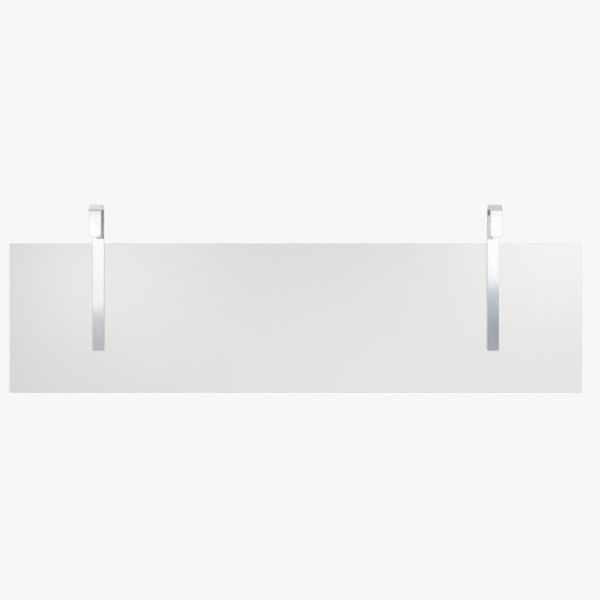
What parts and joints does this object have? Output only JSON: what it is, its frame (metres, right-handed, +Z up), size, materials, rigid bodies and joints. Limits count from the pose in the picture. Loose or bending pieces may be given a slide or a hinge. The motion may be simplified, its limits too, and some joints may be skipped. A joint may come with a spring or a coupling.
{
  "type": "desk privacy panel",
  "caption": "Frosted rectangular privacy panel that hangs from a desk's round cross tube on bent flat-bar hook hangers bonded to its face.",
  "frame": {"origin": "on the axis of the desk's cross tube, where it sits in the hangers' saddles, midway between the two hangers", "axes": "+X along the panel, to the right as the user sees it; -Y towards the user, so the panel hangs behind the tube; +Z up"},
  "size_m": [1.2, 0.0341, 0.3923],
  "materials": {
    "frosted_sheet": "satin, finely frosted on both faces, pale neutral grey",
    "polished_steel": "bright plated steel with faint lengthwise rolling grain",
    "foam_tape": "closed-cell acrylic foam, matte grey"
  },
  "bodies": {
    "root": {"privacy_panel": "frosted_sheet", "left_hanger": "polished_steel", "right_hanger": "polished_steel", "left_bonding_tape": "foam_tape", "right_bonding_tape": "foam_tape"}
  },
  "joints": []
}
